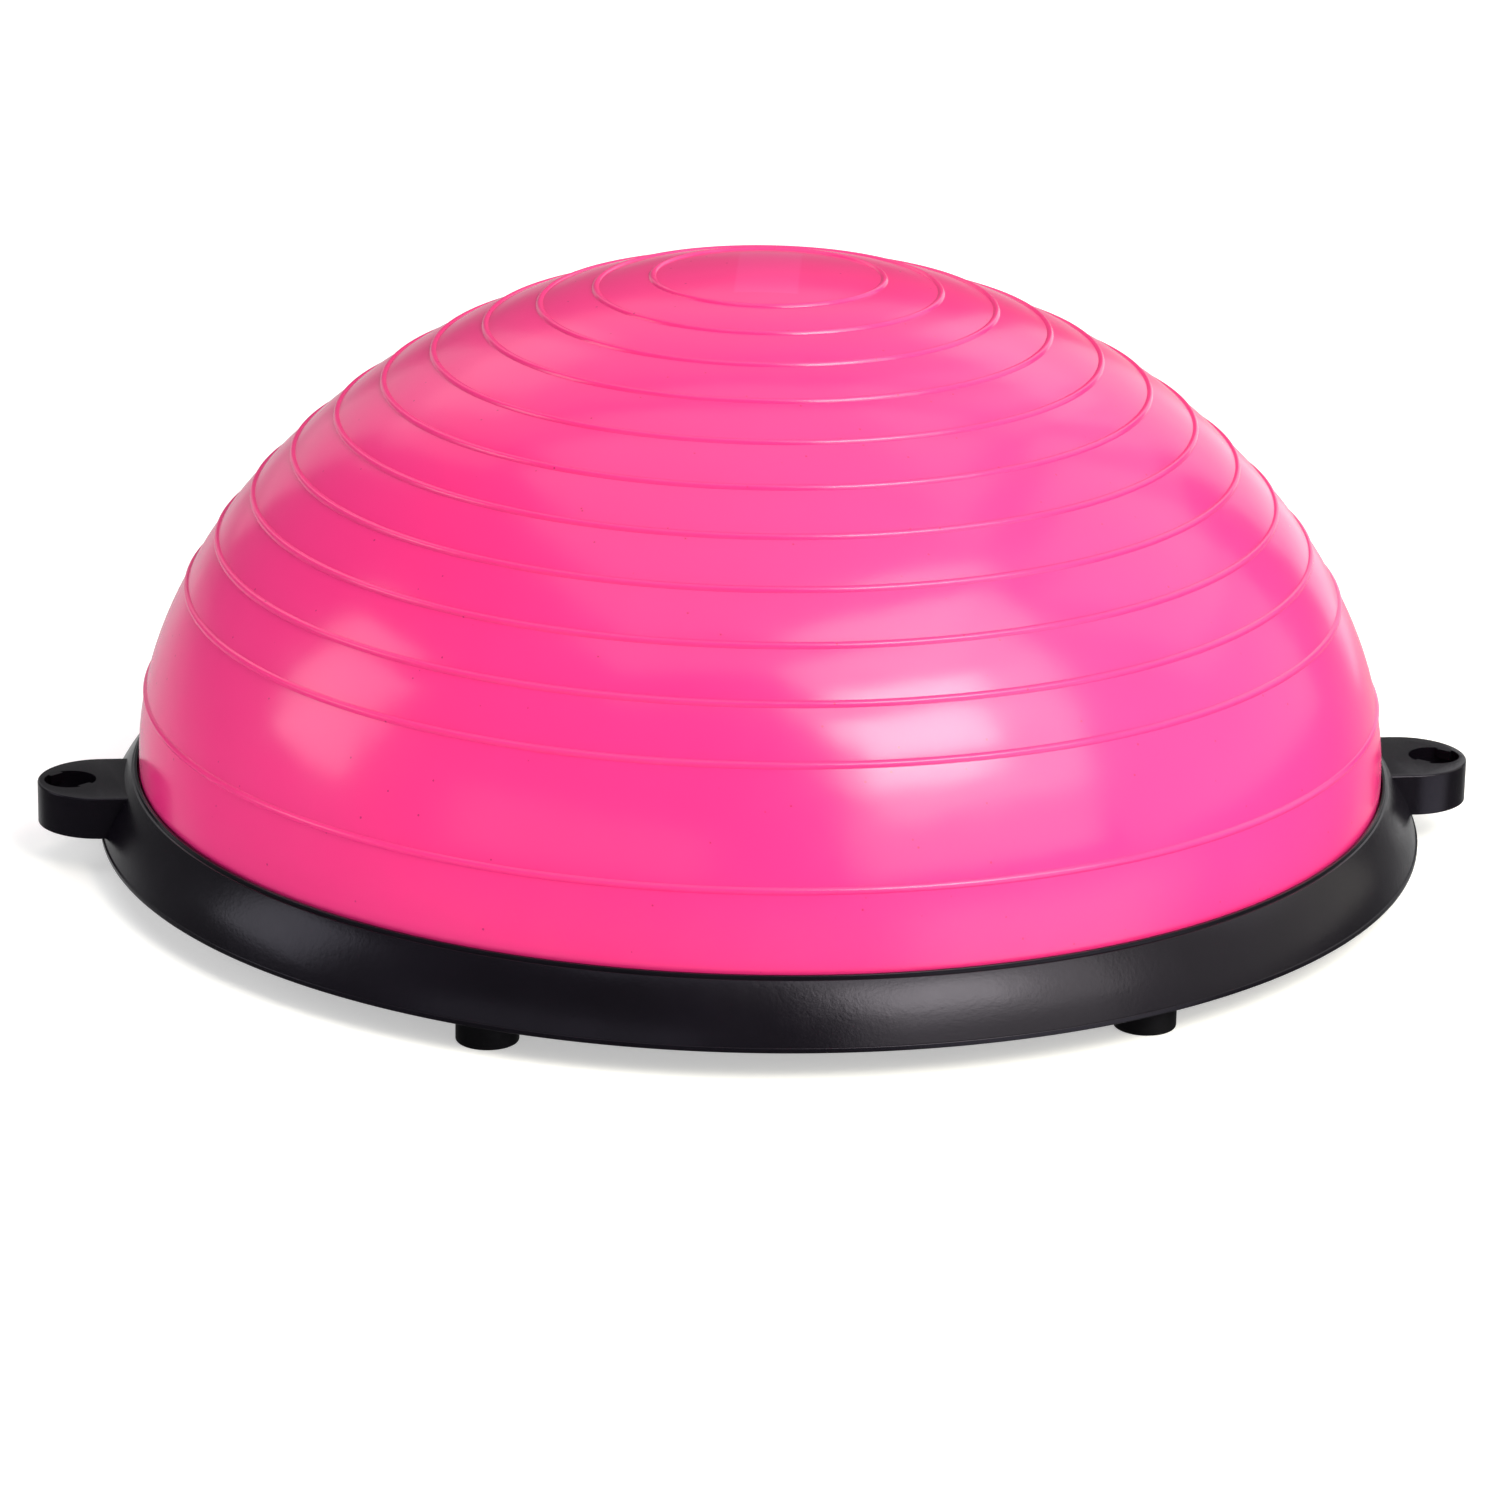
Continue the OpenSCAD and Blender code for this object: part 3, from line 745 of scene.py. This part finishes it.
# %% Spin the platform with its grip rings
TREAD_H = 0.0008
TREAD_W = 0.005
TREAD_ROUND = 0.0003
TREADS = 7
TREAD_FROM_ACCESS = 0.026
TREAD_FROM_FEET = 0.012
ACCESS_R = 0.024
ACCESS_WALL = 0.003
LAND_W = 0.014
RIB_T = 0.0026
RIB_RINGS = 3
RADIAL_RIBS = 12
FOOT_R = 0.013
foot_low, foot_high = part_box("foot_1")
FOOT_CIRCLE = (foot_low.x + foot_high.x) / 2
platform_r = platform_high.x
land_in_r = BEAD_R - LAND_W
tread_first = ACCESS_R + TREAD_FROM_ACCESS
tread_last = FOOT_CIRCLE - FOOT_R - TREAD_FROM_FEET
outline = [(ACCESS_R, UNDER_Z, TREAD_ROUND)]
for k in range(TREADS):
    middle = tread_first + (tread_last - tread_first) * k / (TREADS - 1)
    inner, outer = middle - TREAD_W / 2, middle + TREAD_W / 2
    low = UNDER_Z - TREAD_H
    outline += [(inner, UNDER_Z, TREAD_ROUND), (inner, low, TREAD_ROUND)]
    outline += [(outer, low, TREAD_ROUND), (outer, UNDER_Z, TREAD_ROUND)]
outline += [(platform_r, UNDER_Z, EDGE_ROUND), (platform_r, SKIN_TOP_Z, 0)]
outline += [(BEAD_R, SKIN_TOP_Z, 0), (BEAD_R, FLOOR_Z, 0)]
outline += [(land_in_r, FLOOR_Z, 0), (land_in_r, SKIN_TOP_Z, 0)]
for k in range(RIB_RINGS, 0, -1):
    middle = ACCESS_R + (land_in_r - ACCESS_R) * k / (RIB_RINGS + 1)
    inner, outer = middle - RIB_T / 2, middle + RIB_T / 2
    outline += [(outer, SKIN_TOP_Z, 0), (outer, FLOOR_Z, 0)]
    outline += [(inner, FLOOR_Z, 0), (inner, SKIN_TOP_Z, 0)]
collar_r = ACCESS_R + ACCESS_WALL
outline += [(collar_r, SKIN_TOP_Z, 0), (collar_r, FLOOR_Z, 0), (ACCESS_R, FLOOR_Z, TREAD_ROUND)]
platform = turn_on_lathe("base_platform_moulding", rounded(outline), RING_SPIN)
report(platform)

# %% Add the radial ribs and cut the screw holes
rib_in_r = ACCESS_R + ACCESS_WALL / 2
rib_out_r = land_in_r + RIB_T / 2
rib_size = (rib_out_r - rib_in_r, RIB_T, FLOOR_Z - SKIN_TOP_Z + 2 * SKIN_MARGIN)
rib_middle = ((rib_in_r + rib_out_r) / 2, 0, (FLOOR_Z + SKIN_TOP_Z) / 2 - SKIN_MARGIN)
ribs = bar("ribs", rib_size, rib_middle)
repeat_round(ribs, RADIAL_RIBS, 0)
combine(platform, ribs, "UNION")

RIM_HEAD_R = 0.0034
RIM_HEAD_H = 0.0018
HEAD_SLACK = 0.0003
HOLE_SLACK = 0.00025
RIM_SCREW_R = 0.00175
FEET = 6
FOOT_BORE_R = 0.00185
FOOT_BORE_TOP = FLOOR_Z - BORE_END_T
tools = [
    (drum("head_holes", RIM_HEAD_R + HEAD_SLACK, SCREW_CIRCLE, UNDER_Z - PAST,
          UNDER_Z + RIM_HEAD_H, BOSS_SEGMENTS), RIM_SCREWS, math.pi / RIM_SCREWS),
    (drum("shank_holes", RIM_SCREW_R + HOLE_SLACK, SCREW_CIRCLE, UNDER_Z,
          SKIN_TOP_Z + PAST, BOSS_SEGMENTS), RIM_SCREWS, math.pi / RIM_SCREWS),
    (drum("foot_bores", FOOT_BORE_R, FOOT_CIRCLE, UNDER_Z - PAST,
          FOOT_BORE_TOP, BOSS_SEGMENTS), FEET, 0),
]
for tool, count, first_turn in tools:
    repeat_round(tool, count, first_turn)
    combine(platform, tool, "DIFFERENCE")
smooth_by_angle(platform, 30)
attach(platform, "trainer")
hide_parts("base_platform")
report(platform)

# %% [markdown]
# ## The feet
# Six rubber feet stand under the rim. Each is a turned plug of rubber with a rounded sole,
# a shallow grip groove and a sunk hole for its screw. One is modelled, and the others are
# copies moved to the places of the other feet in the frame.

# %% Spin one foot and copy it
FOOT_SEAT_Z = 0.0075
FOOT_HEAD_R = 0.0038
FOOT_SCREW_R = 0.002
FOOT_ROUND = 0.0011
GROOVE_R = 0.0088
GROOVE_W = 0.0012
GROOVE_D = 0.0006
counterbore_r = FOOT_HEAD_R + HEAD_SLACK
foot_top = foot_high.z
first_foot = turn_on_lathe("rubber_foot_1", rounded([
    (counterbore_r, 0, 0.0005),
    (GROOVE_R - GROOVE_W / 2, 0, 0.0002),
    (GROOVE_R - GROOVE_W / 2, GROOVE_D, 0.0002),
    (GROOVE_R + GROOVE_W / 2, GROOVE_D, 0.0002),
    (GROOVE_R + GROOVE_W / 2, 0, 0.0002),
    (FOOT_R, 0, FOOT_ROUND),
    (FOOT_R, foot_top, 0.0004),
    (FOOT_SCREW_R + HOLE_SLACK, foot_top, 0),
    (FOOT_SCREW_R + HOLE_SLACK, FOOT_SEAT_Z, 0),
    (counterbore_r, FOOT_SEAT_Z, 0),
]), SMALL_SPIN)


def place(piece, offset):
    """Moves a piece's mesh, so that its object stays at the origin."""
    active(piece)
    bpy.ops.object.mode_set(mode="EDIT")
    bpy.ops.mesh.select_all(action="SELECT")
    bpy.ops.transform.translate(value=offset)
    bpy.ops.object.mode_set(mode="OBJECT")


feet = [first_foot]
for count in range(2, FEET + 1):
    active(first_foot)
    bpy.ops.object.duplicate(linked=False)
    copy = bpy.context.object
    copy.name = f"rubber_foot_{count}"
    feet.append(copy)
for count, foot in enumerate(feet, start=1):
    low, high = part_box(f"foot_{count}")
    place(foot, ((low.x + high.x) / 2, (low.y + high.y) / 2, 0))
    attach(foot, "trainer")
    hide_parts(f"foot_{count}")
report(first_foot)

# %% [markdown]
# ## The valve plug
# The plug is one small yellow moulding: a round-ended tip, a thicker shank that tapers a
# little, a dished flange, and two flat wings to pull on. The turned part is spun, the
# wings are a bevelled bar, and a Boolean makes them one.

# %% Spin the plug and add its wings
plug_low, plug_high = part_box("valve_plug")
PLUG_FLANGE_R = 0.008
PLUG_WING_W = 0.007
PLUG_WING_T = 0.003
PLUG_SHANK_L = 0.0205
PLUG_DISH_R = PLUG_FLANGE_R - 0.002
PLUG_DISH_D = 0.0012
PLUG_TIP_R = 0.0026
PLUG_TAPER = 0.0003
SHOULDER_ROUND = 0.0014
TIP_STEPS = 8
flange_low = plug_low.z
flange_high = flange_low + PLUG_WING_T
shoulder_z = flange_high + PLUG_SHANK_L
plug_outline = rounded([
    (0, flange_low + PLUG_DISH_D, 0),
    (PLUG_DISH_R - PLUG_DISH_D, flange_low + PLUG_DISH_D, 0.0005),
    (PLUG_DISH_R, flange_low, 0.0004),
    (PLUG_FLANGE_R, flange_low, 0.0006),
    (PLUG_FLANGE_R, flange_high, 0.0006),
    (PLUG_R, flange_high, 0.0003),
    (PLUG_R - PLUG_TAPER, shoulder_z, SHOULDER_ROUND),
    (PLUG_TIP_R, shoulder_z, 0.0003),
    (PLUG_TIP_R, shoulder_z + PAST, 0),
])
tip_centre = Vector((0, plug_high.z - PLUG_TIP_R))
plug_outline += arc(tip_centre, PLUG_TIP_R, math.pi / 2, 0, TIP_STEPS)
valve_plug = turn_on_lathe("winged_plug", plug_outline, SMALL_SPIN)
wing_middle = (0, 0, (flange_low + flange_high) / 2)
wings = bar("wings", (plug_high.x - plug_low.x, PLUG_WING_W, PLUG_WING_T), wing_middle)
WING_CORNER = 0.0014
WING_EDGE = 0.0004
bpy.ops.object.mode_set(mode="EDIT")
select_where(wings, lambda e: abs(e.verts[0].co.z - e.verts[1].co.z) > NEAR, "edges")
bpy.ops.mesh.bevel(offset=WING_CORNER, segments=5, affect="EDGES")
select_where(wings, lambda e: abs(e.verts[0].co.z - e.verts[1].co.z) < NEAR
             and len(e.link_faces) == 2
             and e.calc_face_angle(0) > math.radians(60), "edges")
bpy.ops.mesh.bevel(offset=WING_EDGE, segments=3, affect="EDGES")
bpy.ops.object.mode_set(mode="OBJECT")
dish_floor = flange_low + PLUG_DISH_D
dish = drum("dish", PLUG_DISH_R - PLUG_DISH_D, 0, flange_low - PAST, dish_floor, SMALL_SPIN)
combine(wings, dish, "DIFFERENCE")
combine(valve_plug, wings, "UNION")
smooth_by_angle(valve_plug, 35)
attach(valve_plug, "plug")
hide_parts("valve_plug")
report(valve_plug)

# %% [markdown]
# ## Materials
# Each finish is a small node tree around one Principled shader. Object coordinates put a
# pattern at its real scale in metres, and they stay with the piece. Noise drives colour,
# roughness and bump, because no moulded surface is even, and numbers that are the same
# all over are set on the shader itself.

# %% Helpers for finishes
def new_finish(name, metallic=0.0, ior=1.5):
    """A material with its node tree, its shader and its object coordinates."""
    material = bpy.data.materials.new(name)
    material.use_nodes = True
    tree = material.node_tree
    shader = tree.nodes["Principled BSDF"]
    shader.inputs["Metallic"].default_value = metallic
    shader.inputs["IOR"].default_value = ior
    coords = tree.nodes.new("ShaderNodeTexCoord").outputs["Object"]
    return material, tree, shader, coords


def noise(tree, coords, per_metre, detail=2.0, roughness=0.5):
    """Noise with so many waves to a metre."""
    node = tree.nodes.new("ShaderNodeTexNoise")
    node.inputs["Scale"].default_value = per_metre
    node.inputs["Detail"].default_value = detail
    node.inputs["Roughness"].default_value = roughness
    tree.links.new(coords, node.inputs["Vector"])
    return node.outputs["Fac"]


def spread(tree, value, low, high, start=0.3, end=0.7):
    """Maps a noise value to a range of numbers."""
    node = tree.nodes.new("ShaderNodeMapRange")
    node.inputs["From Min"].default_value = start
    node.inputs["From Max"].default_value = end
    node.inputs["To Min"].default_value = low
    node.inputs["To Max"].default_value = high
    tree.links.new(value, node.inputs["Value"])
    return node.outputs["Result"]


def tint(tree, value, first, second):
    """Mixes two colours by a value from 0 to 1."""
    node = tree.nodes.new("ShaderNodeMix")
    node.data_type = "RGBA"
    tree.links.new(value, node.inputs["Factor"])
    for socket, colour in ((6, first), (7, second)):
        if isinstance(colour, tuple):
            node.inputs[socket].default_value = (*colour, 1)
        else:
            tree.links.new(colour, node.inputs[socket])
    return node.outputs[2]


def bump(tree, value, depth, below=None):
    """Bump of a depth in metres, on top of another bump."""
    node = tree.nodes.new("ShaderNodeBump")
    node.inputs["Distance"].default_value = depth
    node.inputs["Strength"].default_value = 1.0
    tree.links.new(value, node.inputs["Height"])
    if below is not None:
        tree.links.new(below, node.inputs["Normal"])
    return node.outputs["Normal"]


def connect(tree, shader, colour=None, roughness=None, normal=None):
    """Links what varies to the shader."""
    for name, value in (("Base Color", colour), ("Roughness", roughness), ("Normal", normal)):
        if value is not None:
            tree.links.new(value, shader.inputs[name])


def finish_with(piece, material):
    """Gives a piece one material."""
    piece.data.materials.clear()
    piece.data.materials.append(material)
    for face in piece.data.polygons:
        face.material_index = 0
    print(piece.name, "has", material.name)


print("finish helpers ready")

# %% [markdown]
# ### The floor
# The sweep is matt and nearly white. A little light of its own keeps it pale out to the
# horizon, and its underside is clear, so that the platform can be looked at from below.

# %% Pale floor
FLOOR_GLOW = 0.45
floor_pale, tree, shader, coords = new_finish("floor_pale")
shader.inputs["Roughness"].default_value = 0.9
shader.inputs["Specular IOR Level"].default_value = 0.1
shader.inputs["Emission Color"].default_value = (1, 1, 1, 1)
shader.inputs["Emission Strength"].default_value = FLOOR_GLOW
paper = spread(tree, noise(tree, coords, 12, 3), 0, 1)
connect(tree, shader, tint(tree, paper, (0.80, 0.80, 0.80), (0.83, 0.83, 0.83)))
facing = tree.nodes.new("ShaderNodeNewGeometry")
clear = tree.nodes.new("ShaderNodeBsdfTransparent")
one_sided = tree.nodes.new("ShaderNodeMixShader")
tree.links.new(facing.outputs["Backfacing"], one_sided.inputs[0])
tree.links.new(shader.outputs[0], one_sided.inputs[1])
tree.links.new(clear.outputs[0], one_sided.inputs[2])
tree.links.new(one_sided.outputs[0], tree.nodes["Material Output"].inputs[0])
finish_with(floor, floor_pale)

# %% [markdown]
# ### Pink PVC
# The skin is cast PVC with a satin gloss. It has an orange peel too fine to feel, slow
# waves from the mould, sparse dust specks in the resin, and a slightly lighter rectangle on
# the crown where a real one is printed. The rectangle is left plain here.

# %% Pink PVC for the dome and the seat
PINK = (0.80, 0.028, 0.204)
PINK_LIGHT = (0.83, 0.033, 0.220)
PINK_SPECK = (0.30, 0.012, 0.070)
SPECK_R = 0.0006
SPECKS_TO_METRE = 100
PATCH_SIZE = (0.027, 0.070)
PATCH_TURN = math.radians(8)
PATCH_TINT = (0.84, 0.055, 0.27)
PATCH_SHARE = 0.5
PATCH_BLUR = 0.0006


def rectangle(tree, coords, size, turn):
    """Part of 1 inside a soft-edged rectangle about the Z axis, and 0 outside it."""
    mapping = tree.nodes.new("ShaderNodeMapping")
    mapping.inputs["Rotation"].default_value = (0, 0, turn)
    tree.links.new(coords, mapping.inputs["Vector"])
    sides = tree.nodes.new("ShaderNodeSeparateXYZ")
    tree.links.new(mapping.outputs["Vector"], sides.inputs["Vector"])
    both = tree.nodes.new("ShaderNodeMath")
    both.operation = "MULTIPLY"
    for socket, (axis, length) in enumerate(zip("XY", size)):
        away = tree.nodes.new("ShaderNodeMath")
        away.operation = "ABSOLUTE"
        tree.links.new(sides.outputs[axis], away.inputs[0])
        half = length / 2
        inside = spread(tree, away.outputs[0], 1, 0, half - PATCH_BLUR, half + PATCH_BLUR)
        tree.links.new(inside, both.inputs[socket])
    return spread(tree, both.outputs[0], 0, PATCH_SHARE, 0, 1)


def pvc(name, patch):
    """Satin pink PVC, with or without the plain crown rectangle."""
    material, tree, shader, coords = new_finish(name)
    cloud = spread(tree, noise(tree, coords, 7, 3), 0, 1)
    colour = tint(tree, cloud, PINK, PINK_LIGHT)
    dots = tree.nodes.new("ShaderNodeTexVoronoi")
    dots.inputs["Scale"].default_value = SPECKS_TO_METRE
    tree.links.new(coords, dots.inputs["Vector"])
    reach = SPECK_R * SPECKS_TO_METRE
    speck = spread(tree, dots.outputs["Distance"], 0.8, 0, reach / 2, reach)
    colour = tint(tree, speck, colour, PINK_SPECK)
    roughness = spread(tree, noise(tree, coords, 35, 4), 0.17, 0.215)
    if patch:
        mask = rectangle(tree, coords, PATCH_SIZE, PATCH_TURN)
        colour = tint(tree, mask, colour, PATCH_TINT)
    waves = bump(tree, noise(tree, coords, 16, 2), 0.0005)
    peel = bump(tree, noise(tree, coords, 420, 1), 0.000012, waves)
    connect(tree, shader, colour, roughness, peel)
    return material


finish_with(dome_skin, pvc("pink_pvc", patch=True))
finish_with(valve_seat, pvc("pink_pvc_seat", patch=False))

# %% [markdown]
# ### Black mouldings and rubber
# The ring and the platform come from spark-eroded moulds, so their satin black is a field
# of tiny pits. The rubber feet are flatter and duller. One function with different pits,
# gloss and tint makes all three, and each gets its own slow cloud of handling marks.

# %% Black plastic and rubber
SHINE_TINT = (0.84, 0.80, 1, 1)


def black(name, dark, light, pits, pit_depth, gloss, marks, shine):
    """Black moulded finish: pits to a metre, their depth, and a range of roughness."""
    material, tree, shader, coords = new_finish(name)
    shader.inputs["Specular IOR Level"].default_value = shine
    shader.inputs["Specular Tint"].default_value = SHINE_TINT
    cloud = spread(tree, noise(tree, coords, marks, 4), 0, 1)
    colour = tint(tree, cloud, dark, light)
    grain = noise(tree, coords, pits, 2, 0.7)
    worn = spread(tree, noise(tree, coords, marks * 2.3, 5, 0.6), *gloss)
    skin = bump(tree, noise(tree, coords, 60, 2), 0.00008)
    connect(tree, shader, colour, worn, bump(tree, grain, pit_depth, skin))
    return material


ring_black = black(
    "ring_black", (0.0024, 0.0018, 0.0031), (0.0044, 0.0035, 0.0060),
    560, 0.000060, (0.20, 0.27), 14, 0.25)
platform_black = black(
    "platform_black", (0.011, 0.011, 0.012), (0.019, 0.019, 0.020),
    600, 0.000030, (0.50, 0.66), 10, 0.25)
foot_rubber = black(
    "foot_rubber", (0.0020, 0.0020, 0.0022), (0.0040, 0.0040, 0.0042),
    700, 0.000030, (0.60, 0.76), 60, 0.12)
finish_with(clamp_ring, ring_black)
finish_with(platform, platform_black)
for foot in feet:
    finish_with(foot, foot_rubber)

# %% [markdown]
# ### Yellow plug and zinc screws
# The plug is a cheap glossy moulding, its yellow a little deeper in some places than in
# others. The screws are zinc plated: a bright metal with a fine turned grain and a bluish cloud.

# %% Yellow plastic and zinc
plug_yellow, tree, shader, coords = new_finish("plug_yellow")
cloud = spread(tree, noise(tree, coords, 90, 3), 0, 1)
connect(
    tree, shader,
    tint(tree, cloud, (0.90, 0.62, 0.012), (0.93, 0.71, 0.030)),
    spread(tree, noise(tree, coords, 260, 3), 0.24, 0.36),
    bump(tree, noise(tree, coords, 700, 2), 0.00003))
finish_with(valve_plug, plug_yellow)

zinc, tree, shader, coords = new_finish("zinc_plate", metallic=1.0)
cloud = spread(tree, noise(tree, coords, 400, 3), 0, 1)
connect(
    tree, shader,
    tint(tree, cloud, (0.52, 0.54, 0.57), (0.66, 0.65, 0.61)),
    spread(tree, noise(tree, coords, 900, 4), 0.26, 0.44),
    bump(tree, noise(tree, coords, 2600, 2), 0.00002))
for name in ("rim_screws", "foot_screws"):
    finish_with(frame["nodes"][name], zinc)
